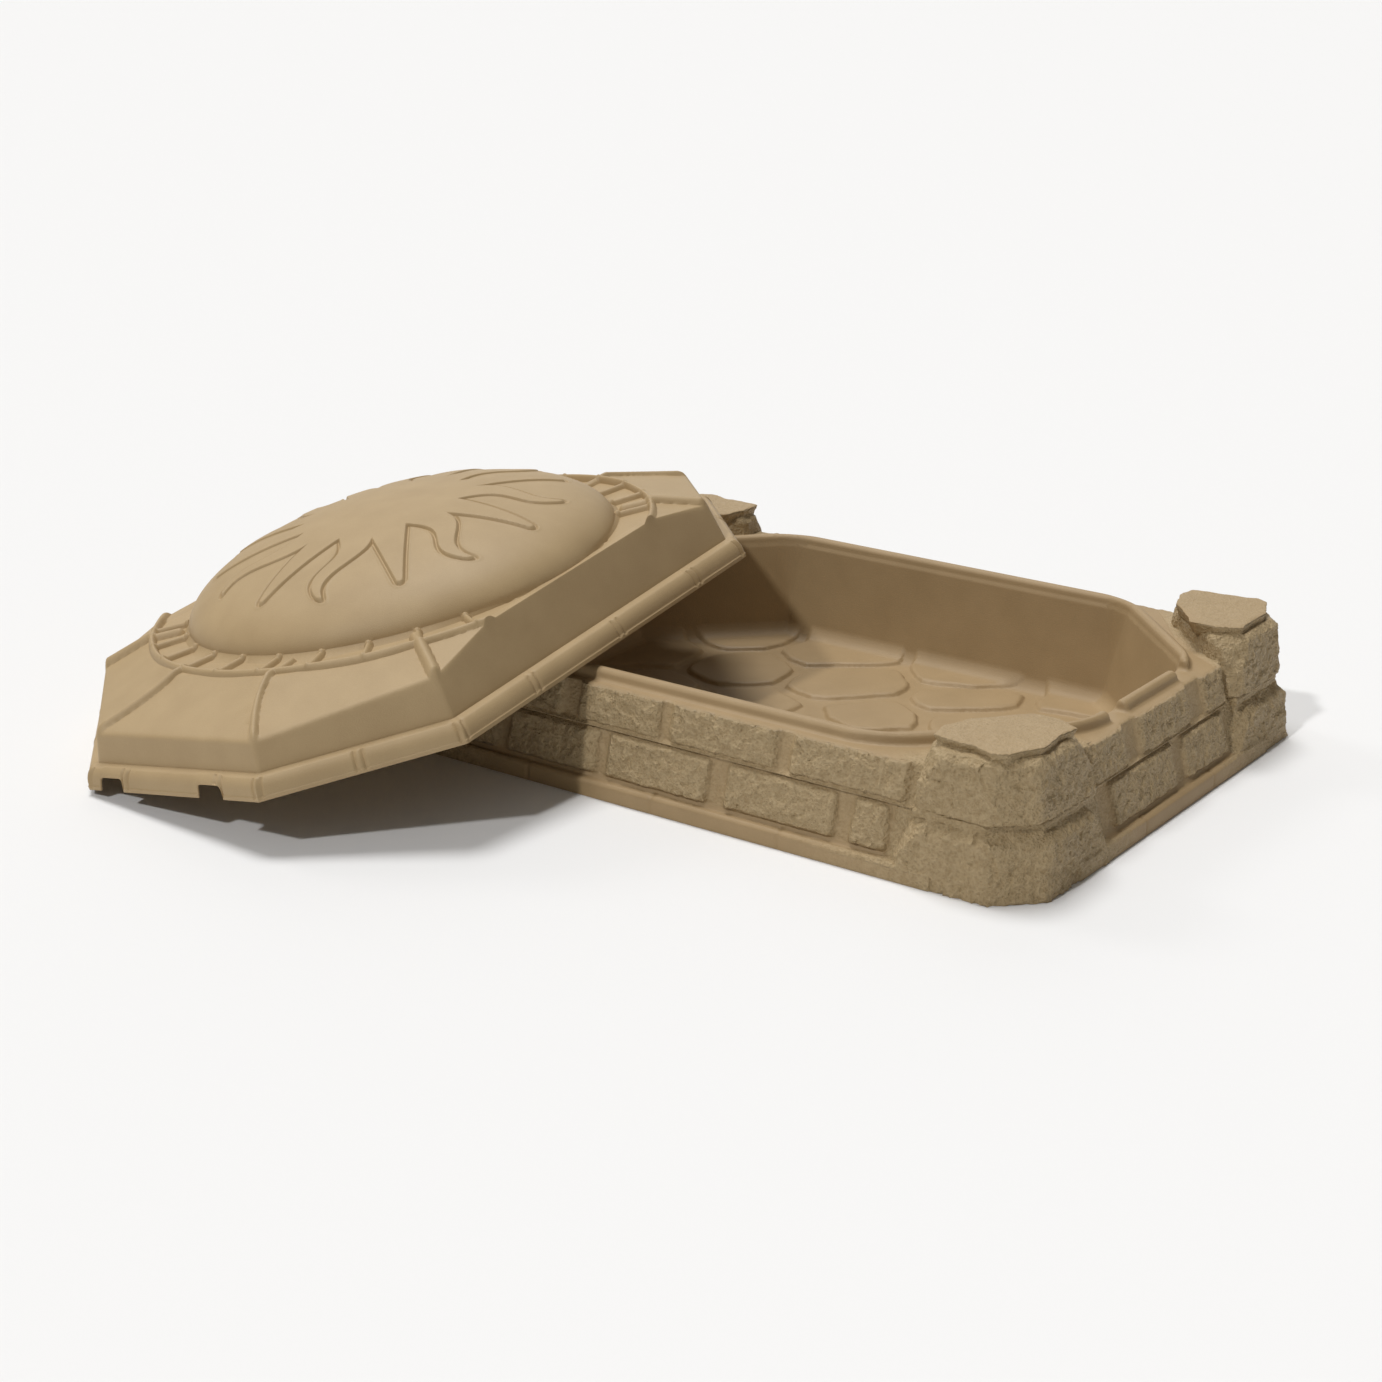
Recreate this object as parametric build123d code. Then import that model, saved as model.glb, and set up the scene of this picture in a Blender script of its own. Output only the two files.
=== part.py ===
from build123d import *
import math
import os

# Sandbox with a lift-off cover, in millimetres. X runs along the box, Y across it, Z up.
# The origin is the centre of the box's underside. Both pieces are hollow polyethylene
# mouldings of one even skin: a double-walled box that looks like a low wall of rough
# blocks with a stone seat on each corner, and an eight-sided cover with a round dome.

# Skin
SKIN = 3.0                    # wall of both mouldings
FLOOR_SKIN = 3.5              # the box's floor, which lies flat on the ground

# Box: wall of blocks
LEDGE_LENGTH = 1544.0         # over the blocks, at the ledge that carries the cover
LEDGE_WIDTH = 1128.0
LEDGE_HEIGHT = 220.0
WALL_DRAFT = 14.5             # degrees, walls lean in as they rise
JOINT_DEPTH = 12.0            # mortar joints lie this far behind the blocks
PLINTH_HEIGHT = 37.0
PLINTH_REACH = 12.0           # plinth stands this far outside the lowest blocks
ROW_LOW = (46.0, 127.0)       # bottom and top of the lower course
ROW_HIGH = (147.0, LEDGE_HEIGHT)    # bottom and top of the upper course
BLOCKS_LAID_OUT = (1544.0, 1128.0)   # wall sizes that the blocks below are laid out for
LONG_LOW_BLOCKS = ((-310.0, 240.0), (-29.0, 240.0), (266.0, 240.0))
LONG_HIGH_BLOCKS = ((-407.0, 244.0), (-140.0, 244.0), (116.0, 244.0), (402.0, 244.0))
END_LOW_BLOCKS = ((-102.0, 252.0), (188.0, 252.0))      # (centre, length) of each block
END_HIGH_BLOCKS = ((-212.0, 150.0), (30.0, 150.0), (252.0, 150.0))
BLOCK_ROOT = 45.0             # how far a block reaches back into the wall

# Box: rim bead that the cover drops over
BEAD_MARGIN_X = 29.5          # bead stands this far in from the blocks, at the ends
BEAD_MARGIN_Y = 32.0          # and along the sides
BEAD_LENGTH = LEDGE_LENGTH - 2 * BEAD_MARGIN_X
BEAD_WIDTH = LEDGE_WIDTH - 2 * BEAD_MARGIN_Y
BEAD_CORNER = 294.0           # each corner is cut by this much along both sides
BEAD_THICK = 28.0
BEAD_HEIGHT = 23.0            # above the ledge
BASIN_DRAFT = 11.0            # degrees, inner walls lean out as they rise

# Hand grips: gaps through the bead and the cover's rim, at both ends
GRIP_CENTRES = (-115.0, 180.0)
GRIP_WIDTH = 68.0
GRIP_HEIGHT = 27.0            # up from the rim's lower edge

# Box: corner stones
STONE_LENGTH = 305.0          # lower stone, along X
STONE_DEPTH = 347.0           # lower stone, along Y
STONE_REACH = 21.0            # lower stone stands this far outside the lowest blocks
STONE_CORNER = 100.0          # cut of its outer corner
STONE_BACKING = 60.0          # the wall's own corner lies this much further in
STONE_LOW = (0.0, 127.0)
SEAT_RISE = 65.0              # seat above the ledge
STONE_HIGH = (147.0, LEDGE_HEIGHT + SEAT_RISE)
STONE_STEP = 26.0             # upper stone stands back from the lower one
STONE_DRAFT = 6.0             # degrees
STONE_EDGE = 16.0             # broken edge round each stone's top
STONE_JOINT_DEPTH = 14.0      # joint between the two stones, behind the upper one

# Cover
COVER_MARGIN_X = 3.0          # rim stands this far in from the blocks, at the ends
COVER_MARGIN_Y = 18.0         # and along the sides
COVER_LENGTH = LEDGE_LENGTH - 2 * COVER_MARGIN_X
COVER_WIDTH = LEDGE_WIDTH - 2 * COVER_MARGIN_Y
COVER_CORNER_X = 290.0        # cut of each corner, along X and along Y
COVER_CORNER_Y = 294.0
RIM_HEIGHT = 49.0
RIM_STEP = 33.0               # from the rim's outer face in to the foot of the side wall
RIM_ROUND = 25.0
COVER_DRAFT = 13.5            # degrees, side walls
END_SHOULDER = 111.0          # top of the walls at the corners of the ends
SIDE_SHOULDER = 111.0         # and at the corners of the long sides
RING_HEIGHT = 166.0
DOME_RADIUS = COVER_WIDTH / 2 - 71
RING_RADIUS = DOME_RADIUS + 85      # where the sloping panels meet the flat round the dome
DOME_FOOT = 170.0             # height of the dome's foot
DOME_RISE = 163.0
STONE_GAP = 6.0               # between the closed cover and the corner stones

# Cover at rest: turned a quarter turn and leaning on the box, one corner on the ground
COVER_TURN = 89.7             # degrees about Z
LEAN_TOWARDS = 218.3          # degrees from +X, the way its low side faces
REST_GAP = 1.5                # middle of its high end over the height of the seat
REST_REACH = 26.5             # how far its high end reaches over the stone it leans on
REST_X = 7.0                  # its middle lies this far in from the end of the blocks

HUGE = 4000.0


def inset_by(angle, height):
    """How far a wall with this draft moves in over this height."""
    return height * math.tan(math.radians(angle))


def octagon(length, width, cut_x, cut_y, grow=0.0):
    """Corners of a rectangle with cut corners, every side moved out by grow."""
    a = length / 2 + grow
    b = width / 2 + grow
    slope = math.hypot(cut_x, cut_y)
    shift_x = grow * (slope - cut_x) / cut_y
    shift_y = grow * (slope - cut_y) / cut_x
    near_x = length / 2 - cut_x + shift_x
    near_y = width / 2 - cut_y + shift_y
    quarter = [(a, near_y), (near_x, b)]
    half = quarter + [(-x, y) for x, y in reversed(quarter)]
    return half + [(-x, -y) for x, y in half]


def prism(points, low, high):
    return Pos(0, 0, low) * extrude(make_face(Polyline(*points, close=True)), high - low)


def frustum(bottom, top, low, high):
    """Solid between two outlines with the same number of corners."""
    faces = [Pos(0, 0, z) * make_face(Polyline(*points, close=True))
             for points, z in ((bottom, low), (top, high))]
    return loft(faces, ruled=True)


# ---------------------------------------------------------------- the box

def wall_outline(grow):
    """Plan of the wall at the ledge, moved out by grow, its corners hidden in the stones."""
    cut = STONE_CORNER + STONE_BACKING
    return octagon(LEDGE_LENGTH, LEDGE_WIDTH, cut, cut, grow)


def wall_core(t):
    """The plain wall behind the blocks, up to the ledge."""
    low = t
    high = LEDGE_HEIGHT - t
    outlines = []
    for z in (low, high):
        outlines.append(wall_outline(inset_by(WALL_DRAFT, LEDGE_HEIGHT - z) - JOINT_DEPTH - t))
    return frustum(outlines[0], outlines[1], low, high)


def plinth(t):
    """The smooth band at the foot of the wall."""
    reach = inset_by(WALL_DRAFT, LEDGE_HEIGHT - ROW_LOW[0]) + PLINTH_REACH - t
    return prism(wall_outline(reach), t, PLINTH_HEIGHT - t)


def block(centre, length, row, half_width, t):
    """One block of the wall on the +Y side: its face follows the wall's draft."""
    low, high = row[0] + t, row[1] - t
    face_low = half_width + inset_by(WALL_DRAFT, LEDGE_HEIGHT - low) - t
    face_high = half_width + inset_by(WALL_DRAFT, LEDGE_HEIGHT - high) - t
    root = half_width - BLOCK_ROOT
    profile = [(root, low), (face_low, low), (face_high, high), (root, high)]
    side = make_face(Plane.YZ * Polyline(*profile, close=True))
    return Pos(centre - length / 2 + t, 0, 0) * extrude(side, length - 2 * t, dir=(1, 0, 0))


def blocks(t):
    """All blocks: the two long walls, then the two end walls, which mirror each other."""
    made = []
    stretch_x = LEDGE_LENGTH / BLOCKS_LAID_OUT[0]
    stretch_y = LEDGE_WIDTH / BLOCKS_LAID_OUT[1]
    for row, laid in ((ROW_LOW, LONG_LOW_BLOCKS), (ROW_HIGH, LONG_HIGH_BLOCKS)):
        for centre, length in laid:
            one = block(centre * stretch_x, length * stretch_x, row, LEDGE_WIDTH / 2, t)
            made += [one, mirror(one, about=Plane.XZ)]
    for row, laid in ((ROW_LOW, END_LOW_BLOCKS), (ROW_HIGH, END_HIGH_BLOCKS)):
        for centre, length in laid:
            one = block(-centre * stretch_y, length * stretch_y, row, LEDGE_LENGTH / 2, t)
            one = Rot(0, 0, -90) * one
            made += [one, mirror(one, about=Plane.YZ)]
    return made


def stone_outline(reach, t):
    """Outline of the corner stone on the +X +Y corner, clear of the closed cover."""
    out_x = LEDGE_LENGTH / 2 + inset_by(WALL_DRAFT, LEDGE_HEIGHT - ROW_LOW[0]) + reach
    out_y = LEDGE_WIDTH / 2 + inset_by(WALL_DRAFT, LEDGE_HEIGHT - ROW_LOW[0]) + reach
    in_x = out_x + STONE_REACH - reach - STONE_LENGTH
    in_y = out_y + STONE_REACH - reach - STONE_DEPTH
    slope = math.hypot(COVER_CORNER_X, COVER_CORNER_Y)
    line_x = COVER_LENGTH / 2 + STONE_GAP * slope / COVER_CORNER_Y
    line_y = COVER_WIDTH / 2 - COVER_CORNER_Y
    rise = COVER_CORNER_Y / COVER_CORNER_X
    inner_x = line_x - (in_y - line_y) / rise
    inner_y = line_y + (line_x - in_x) * rise
    points = [(inner_x, in_y), (out_x, in_y), (out_x, out_y - STONE_CORNER),
              (out_x - STONE_CORNER, out_y), (in_x, out_y), (in_x, inner_y)]
    outline = make_face(Polyline(*points, close=True))
    return offset(outline, -t, kind=Kind.INTERSECTION) if t else outline


def stone(reach, heights, t):
    low, high = heights[0] + t, heights[1] - t
    body = Pos(0, 0, low) * extrude(stone_outline(reach, t), high - low, taper=STONE_DRAFT)
    return chamfer(body.faces().sort_by(Axis.Z)[-1].edges(), STONE_EDGE)


def stones(t):
    """Four corner piles: lower stone, recessed joint, upper stone with the seat on top."""
    upper_reach = STONE_REACH - STONE_STEP
    low = stone(STONE_REACH, STONE_LOW, t)
    high = stone(upper_reach, STONE_HIGH, t)
    joint_face = stone_outline(upper_reach - STONE_JOINT_DEPTH, t)
    joint = Pos(0, 0, STONE_LOW[1] / 2) * extrude(joint_face, LEDGE_HEIGHT - STONE_LOW[1] / 2 - t)
    made = []
    for piece in (low, high, joint):
        right = [piece, mirror(piece, about=Plane.XZ)]
        made += right + [mirror(one, about=Plane.YZ) for one in right]
    return made


def bead_outline(grow):
    return octagon(BEAD_LENGTH, BEAD_WIDTH, BEAD_CORNER, BEAD_CORNER, grow)


def bead(t):
    """Raised rim round the basin, broken by the hand grips at both ends."""
    top = LEDGE_HEIGHT + BEAD_HEIGHT
    rim = prism(bead_outline(-t), LEDGE_HEIGHT / 2, top - t)
    reach = 2 * (BEAD_THICK + SKIN)
    for centre in GRIP_CENTRES:
        gap = Box(reach, GRIP_WIDTH + 2 * t, 2 * (BEAD_HEIGHT + t))
        for side in (-1, 1):
            rim -= Pos(side * BEAD_LENGTH / 2, centre, top) * gap
    return rim


def basin(t):
    """The space for the sand, with its walls moved out by t."""
    top = LEDGE_HEIGHT + BEAD_HEIGHT
    floor = FLOOR_SKIN - t
    lean = inset_by(BASIN_DRAFT, top - floor)
    above = inset_by(BASIN_DRAFT, BEAD_HEIGHT)
    bottom_points = bead_outline(-BEAD_THICK - lean + t)
    top_points = bead_outline(-BEAD_THICK + above + t)
    return frustum(bottom_points, top_points, floor, top + BEAD_HEIGHT)


def box_form(t):
    """Everything the box's skin wraps, every face moved in by t."""
    form = wall_core(t) + [plinth(t), bead(t)]
    return form + stones(t) + blocks(t)


def make_box():
    cavity = box_form(SKIN) - basin(SKIN)
    return box_form(0) - basin(0) - cavity


# ---------------------------------------------------------------- the cover

def cover_outline(grow):
    return octagon(COVER_LENGTH, COVER_WIDTH, COVER_CORNER_X, COVER_CORNER_Y, grow)


def rim(t):
    """Rounded band round the foot of the cover."""
    low = -RIM_HEIGHT if t else 0
    band = prism(cover_outline(-t), low, RIM_HEIGHT - t)
    top_edges = band.faces().sort_by(Axis.Z)[-1].edges()
    return fillet(top_edges, RIM_ROUND - t)


def side_walls(t):
    """Eight leaning walls, from inside the rim up to the dome's foot."""
    low = -RIM_HEIGHT if t else 0
    outlines = []
    for z in (low, DOME_FOOT - t):
        outlines.append(cover_outline(-RIM_STEP - inset_by(COVER_DRAFT, z - RIM_HEIGHT) - t))
    return frustum(outlines[0], outlines[1], low, DOME_FOOT - t)


def shoulder(corner, height):
    """A corner of the side walls' top edge: 0 is at an end, 1 on a long side."""
    x, y = cover_outline(-RIM_STEP - inset_by(COVER_DRAFT, height - RIM_HEIGHT))[corner]
    return (x, y, height)


def roof_planes(t):
    """Planes of the sloping panels, each through corners of the walls and the ring."""
    first, second = shoulder(0, END_SHOULDER), shoulder(1, SIDE_SHOULDER)
    side_y = second[1] - inset_by(COVER_DRAFT, RING_HEIGHT - SIDE_SHOULDER)
    swoop = (math.sqrt(RING_RADIUS ** 2 - side_y ** 2), side_y, RING_HEIGHT)
    angle = math.atan2(first[0] - second[0], second[1] - first[1])
    mid = (RING_RADIUS * math.cos(angle), RING_RADIUS * math.sin(angle), RING_HEIGHT)
    panels = [(first, (first[0], 0, END_SHOULDER), (RING_RADIUS, 0, RING_HEIGHT)),
              (first, second, mid), (second, swoop, mid)]
    planes = []
    for corners in panels:
        p, q, r = [Vector(*corner) for corner in corners]
        normal = (q - p).cross(r - p).normalized()
        if normal.Z < 0:
            normal = -normal
        for sx in (-1, 1):
            for sy in (-1, 1):
                turned = Vector(normal.X * sx, normal.Y * sy, normal.Z)
                point = Vector(p.X * sx, p.Y * sy, p.Z) - turned * t
                planes.append(Plane(origin=point, z_dir=turned))
    return planes


def dome(t):
    """Half an ellipsoid, a little sunk into the panels below it."""
    radius, rise, sunk = DOME_RADIUS - t, DOME_RISE - t, RIM_HEIGHT / 2
    with BuildSketch(Plane.XZ) as section:
        Ellipse(radius, rise)
        Rectangle(HUGE, HUGE, align=(Align.CENTER, Align.MAX), mode=Mode.SUBTRACT)
        Rectangle(HUGE, HUGE, align=(Align.MAX, Align.CENTER), mode=Mode.SUBTRACT)
    upper = revolve(section.sketch, Axis.Z)
    return Pos(0, 0, DOME_FOOT) * (upper + Pos(0, 0, -sunk) * extrude(Circle(radius), sunk))


def cover_form(t):
    walls = side_walls(t)
    for plane in roof_planes(t):
        walls = split(walls, bisect_by=plane, keep=Keep.BOTTOM)
    return walls + [rim(t), dome(t)]


def make_cover():
    shell = cover_form(0) - cover_form(SKIN)
    notch = Box(4 * RIM_STEP, GRIP_WIDTH, 2 * GRIP_HEIGHT)
    for centre in GRIP_CENTRES:
        for side in (-1, 1):
            shell -= Pos(side * COVER_LENGTH / 2, centre, 0) * notch
    return shell


def lean(cover):
    """Turn the cover and lean it, its lowest corner on the ground and its high end on a stone."""
    turn, down = math.radians(COVER_TURN), math.radians(LEAN_TOWARDS)

    def downhill(x, y):
        return x * math.cos(turn - down) - y * math.sin(turn - down)

    end = COVER_LENGTH / 2
    lowest = max(downhill(x, y) for x, y in cover_outline(0))
    angle = math.asin((STONE_HIGH[1] + REST_GAP) / (lowest - downhill(end, 0)))
    end_y = end * math.sin(turn) - downhill(end, 0) * math.sin(down) * (1 - math.cos(angle))
    stone_y = LEDGE_WIDTH / 2 + inset_by(WALL_DRAFT, LEDGE_HEIGHT - ROW_LOW[0])
    stone_y += STONE_REACH - STONE_DEPTH
    tilt_axis = Axis((0, 0, 0), (-math.sin(down), math.cos(down), 0))
    leaning = cover.rotate(Axis.Z, COVER_TURN).rotate(tilt_axis, math.degrees(angle))
    place = (REST_X - LEDGE_LENGTH / 2, stone_y + REST_REACH - end_y)
    return Pos(*place, -leaning.bounding_box().min.Z) * leaning


os.makedirs("parts", exist_ok=True)
export_step(make_box(), "parts/sandbox_box.step")
export_step(lean(make_cover()), "parts/cover.step")
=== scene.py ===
import math

import bpy
import numpy as np
from mathutils import Matrix, Vector


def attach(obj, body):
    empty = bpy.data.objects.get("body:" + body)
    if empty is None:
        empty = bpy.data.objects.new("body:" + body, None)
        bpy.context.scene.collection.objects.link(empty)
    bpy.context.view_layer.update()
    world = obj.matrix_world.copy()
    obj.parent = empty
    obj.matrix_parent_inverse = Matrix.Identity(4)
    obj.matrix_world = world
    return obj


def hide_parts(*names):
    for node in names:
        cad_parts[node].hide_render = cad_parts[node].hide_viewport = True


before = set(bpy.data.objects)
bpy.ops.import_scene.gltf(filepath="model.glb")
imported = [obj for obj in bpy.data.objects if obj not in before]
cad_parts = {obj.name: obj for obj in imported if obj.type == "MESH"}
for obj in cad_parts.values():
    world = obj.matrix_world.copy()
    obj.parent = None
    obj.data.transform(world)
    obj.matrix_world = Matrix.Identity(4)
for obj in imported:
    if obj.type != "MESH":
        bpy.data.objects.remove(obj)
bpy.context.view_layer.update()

bl_info = {
    "name": "Sandbox with cover",
    "version": (1, 0, 0),
    "blender": (4, 5, 0),
    "location": "3D View > Sidebar > Sandbox",
    "description": "Builds a moulded stone-wall sandbox with its lift-off domed cover",
    "category": "Add Mesh",
}

# Everything is in metres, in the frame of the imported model: X along the box, Y across it,
# Z up, the origin under the middle of the box.

# The box, as it was moulded
LEDGE = (0.772, 0.564)        # half length and half width over the blocks, at the ledge
LEDGE_Z = 0.220
WALL_LEAN = math.radians(14.5)
WALL_SLOPE = math.tan(WALL_LEAN)
JOINT = 0.015                 # mortar lies this far behind the blocks
CORE_BACK = 0.004             # the solid inside the walls starts this far behind the mortar
PLINTH = (0.829, 0.621)
PLINTH_Z = 0.037
WALL_BEADS = ((0.1382, 0.0036, 0.0085), (0.0405, 0.0040, 0.0060))   # height, half width, depth
STONE_OUT = (0.838, 0.630)    # outer faces of the lower corner stones
STONE_IN = (0.520, 0.283)     # inner faces of the lower stones
UPPER_IN = (0.554, 0.306)     # and of the upper ones
STONE_CUT = 0.098             # each outer corner is cut by this much along both sides
UPPER_CUT = 0.078
STONE_SLOPE = math.tan(math.radians(6.0))
STONE_COARSE = 1.5            # corner stones are split this much coarser than the blocks
UPPER_BACK = 0.026            # upper stones stand back from the lower ones
STONE_JOINT_BACK = 0.018      # the joint between them lies behind the upper ones
JOINT_RIDGES = (0.1310, 0.1390)     # heights of the two ridges in that joint
SKIN_STEP = 0.0035            # spacing of the relief that follows a slanted face
LOW_TOP, HIGH_FOOT, SEAT_Z = 0.127, 0.147, 0.285
BEAD = (0.7425, 0.532)        # half length and half width over the rim bead
BEAD_CUT = 0.294
BEAD_Z = 0.243
BEAD_WIDE = 0.028
BASIN_LEAN = math.radians(11.0)
BASIN_SLOPE = math.tan(BASIN_LEAN)
FLOOR_Z = 0.0035
SLAB_RISE = 0.010             # paving slabs stand this far over the grooves between them
GRIP_Y = (-0.115, 0.180)      # middles of the hand grips, at both ends
GRIP_WIDE = 0.068
GRIP_HIGH = 0.027

# Blocks of the two long walls and the two end walls: (start, end) along the wall
LONG_HIGH = ((-0.532, -0.284), (-0.244, -0.037), (-0.014, 0.244), (0.275, 0.540))
LONG_LOW = ((-0.512, -0.435), (-0.412, -0.178), (-0.155, 0.097), (0.138, 0.394), (0.430, 0.512))
END_HIGH = ((-0.296, -0.144), (-0.090, 0.136), (0.196, 0.296))
END_LOW = ((-0.238, 0.032), (0.075, 0.270))
PLINTH_MARKS = ((-0.340, -0.024, 0.281), (-0.142, 0.162))

# Middles of the paving slabs on the basin's floor
SLABS = (
    (-0.37, 0.18), (-0.25, 0.40), (-0.50, 0.40), (-0.10, 0.24), (0.08, 0.45), (0.16, 0.31),
    (0.05, 0.10), (0.28, 0.18), (0.44, 0.43), (0.47, 0.24), (0.42, 0.02), (0.20, -0.06),
    (-0.02, -0.10), (-0.24, -0.04), (-0.46, -0.04), (-0.62, 0.16), (-0.60, -0.18),
    (-0.36, -0.24), (-0.13, -0.30), (0.10, -0.28), (0.33, -0.20), (0.55, -0.16),
    (0.62, 0.08), (-0.44, -0.42), (-0.18, -0.50), (0.24, -0.44), (0.46, -0.38),
)

# Outline of the broken-edged seat slab on a corner stone
SEAT = ((0.577, 0.548), (0.574, 0.498), (0.592, 0.436), (0.644, 0.384), (0.670, 0.345),
        (0.728, 0.340), (0.776, 0.368), (0.771, 0.418), (0.776, 0.486), (0.744, 0.556),
        (0.716, 0.569), (0.668, 0.556))

# The cover in its own frame: X along it, Y across it, Z up from its lower edge
COVER = (0.769, 0.546)
COVER_CUT = (0.290, 0.294)
RIM_Z = 0.049
RIM_IN = 0.033
COVER_SLOPE = math.tan(math.radians(13.5))
SHOULDER_Z = (0.106, 0.131)   # at the corners of the ends, and at those of the long sides
RING_R, RING_Z = 0.555, 0.166
DOME_R, DOME_FOOT, DOME_RISE = 0.475, 0.1635, 0.1625
SKIN = 0.003
COVER_AT = (-0.765, -0.451)   # where its middle rests
COVER_TURN, COVER_LEAN, LEAN_TOWARDS = 89.7, 13.75, 218.3     # degrees

# Bars that stand on the cover, as (half width, height), and the marks in its rim
RING_BAR = (0.0092, 0.0108)
RIB_BAR = (0.0092, 0.0112)
SIDE_BAR = (0.0140, 0.0150)
TICK_BAR, TICK_HEAD = (0.0088, 0.0135), (0.0120, 0.0175)
TICK_R = 0.479
SIDE_MARKS, END_MARKS = (-0.250, 0.030, 0.305), (-0.142, 0.138)

# The sun on the dome: a disc and rays, each with a width at its foot and at its tip
RAYS = 15
SUN_R, RAY_FOOT_R, RAY_TIP_R = 0.176, 0.165, 0.392
RAY_WIDE, RAY_NARROW = 0.036, 0.0080
RAY_WAVE = math.radians(4.5)
PLATEAU, CHANNEL, LIP = 0.0034, 0.0046, 0.0011      # height, depth and height of its outline

MAX_TRIANGLES = 190000

# Studio lights far off: name, azimuth, elevation and spread in degrees, strength
SUNS = (("front key", -97, 48, 4, 1.15), ("overhead", 150, 72, 22, 1.95),
        ("left fill", 175, 38, 15, 0.25), ("backdrop", 126, 26, 50, 0.35))
SKY = 0.20
SKY_TINT = "#FFFAF3"

# The camera: where it stands, the way from what it sees back to it, and its lens in mm
CAMERA_AT = (2.8449, -4.4434, 1.9766)
CAMERA_BACK = (0.5520, -0.7623, 0.3379)
CAMERA_LENS, CAMERA_SENSOR = 67.47, 36.0


# ------------------------------------------------------------------ shared helpers

def linear(hex_colour):
    """sRGB hex to the linear RGBA that shaders take."""
    parts = [int(hex_colour[i:i + 2], 16) / 255 for i in (1, 3, 5)]
    return tuple(c / 12.92 if c <= 0.04045 else ((c + 0.055) / 1.055) ** 2.4
                 for c in parts) + (1.0,)


def add_node(tree, kind, settings=None, links=None):
    """One node with its settings (properties or input values) and its links."""
    made = tree.nodes.new(kind)
    for key, value in (settings or {}).items():
        if isinstance(key, str) and hasattr(made, key):
            setattr(made, key, value)
        else:
            made.inputs[key].default_value = value
    for key, source in (links or {}).items():
        tree.links.new(source, made.inputs[key])
    return made


def smooth_step(value, low, high):
    """0 up to low, 1 from high on, and an even S-curve between."""
    t = np.clip((value - low) / (high - low), 0, 1)
    return t * t * (3 - 2 * t)


def round_max(a, b, radius):
    """Solid cut by another, with its outer edge rounded to this radius."""
    return (np.minimum(np.maximum(a, b), -radius)
            + np.hypot(np.maximum(a + radius, 0), np.maximum(b + radius, 0)))


def round_min(a, b, radius):
    """Two solids joined, with their inner corner filled to this radius."""
    return -round_max(-a, -b, radius)


def bevel_max(a, b, leg):
    """Solid cut by another, with a flat bevel of this leg along the edge."""
    return np.maximum(np.maximum(a, b), (a + b + leg) * 0.7071)


def roll(distance, width):
    """Quarter-round edge: 0 at the edge, 1 from width inwards."""
    t = np.clip(distance / width, 0, 1)
    return np.sqrt(np.maximum(1 - (1 - t) ** 2, 0))


def lumps(u, v, size, seed):
    """Smooth random lumps of about this size, from -1 to 1."""
    table = np.random.default_rng(seed).uniform(-1, 1, (64, 64)).astype(np.float32)
    a, b = u / size + 31.7, v / size + 17.3
    i, j = np.floor(a).astype(int), np.floor(b).astype(int)
    s, t = a - i, b - j
    s, t = s * s * (3 - 2 * s), t * t * (3 - 2 * t)
    i0, i1, j0, j1 = i % 64, (i + 1) % 64, j % 64, (j + 1) % 64
    return ((table[i0, j0] * (1 - s) + table[i1, j0] * s) * (1 - t)
            + (table[i0, j1] * (1 - s) + table[i1, j1] * s) * t)


def flakes(u, v, size, seed, tilt=1.0):
    """Split-stone facets of about this size: each a small tilted plane, from about -1 to 1."""
    rng = np.random.default_rng(seed)
    spot = rng.uniform(0.1, 0.9, (64, 64, 2))
    plane = rng.uniform(-1, 1, (64, 64, 3))
    a, b = u / size + 23.1, v / size + 11.9
    i, j = np.floor(a).astype(int), np.floor(b).astype(int)
    best = np.full(np.broadcast(a, b).shape, 9.0)
    height = np.zeros_like(best)
    for di in (-1, 0, 1):
        for dj in (-1, 0, 1):
            ci, cj = (i + di) % 64, (j + dj) % 64
            da, db = a - (i + di + spot[ci, cj, 0]), b - (j + dj + spot[ci, cj, 1])
            near = da * da + db * db
            here = 0.5 * plane[ci, cj, 0] + tilt * (plane[ci, cj, 1] * da + plane[ci, cj, 2] * db)
            closer = near < best
            best = np.where(closer, near, best)
            height = np.where(closer, here, height)
    return height


def stone_skin(u, v, seed, coarse=1.0):
    """Depth of rough split stone behind its face, in metres, 0 at the proudest points."""
    warp_u = u + 0.006 * lumps(u, v, 0.03, seed + 5)
    warp_v = v + 0.006 * lumps(u, v, 0.03, seed + 6)
    rough = (0.0022 * coarse * flakes(warp_u, warp_v, 0.050, seed)
             + 0.0030 * flakes(warp_u, warp_v, 0.022, seed + 1)
             + 0.0021 * flakes(u, v, 0.011, seed + 2, 1.6)
             + 0.0010 * lumps(u, v, 0.025, seed + 3))
    return np.clip(0.0034 * coarse - rough, 0, 0.0090)


def segment_distance(x, y, ends):
    """Distance from a straight line between two ends."""
    (ax, ay), (bx, by) = ends
    ex, ey = bx - ax, by - ay
    t = np.clip(((x - ax) * ex + (y - ay) * ey) / (ex * ex + ey * ey), 0, 1)
    return np.hypot(x - ax - t * ex, y - ay - t * ey)


def polygon_distance(x, y, corners):
    """Signed distance from an outline, below 0 inside it."""
    best = np.full(np.broadcast(x, y).shape, 9.0)
    inside = np.zeros(best.shape, bool)
    for (ax, ay), (bx, by) in zip(corners, corners[1:] + corners[:1]):
        best = np.minimum(best, segment_distance(x, y, ((ax, ay), (bx, by))))
        crosses = ((ay > y) != (by > y)) & (x < (bx - ax) * (y - ay) / (by - ay + 1e-12) + ax)
        inside ^= crosses
    return np.where(inside, -best, best)


# ------------------------------------------------------------------ the box's form

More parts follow.
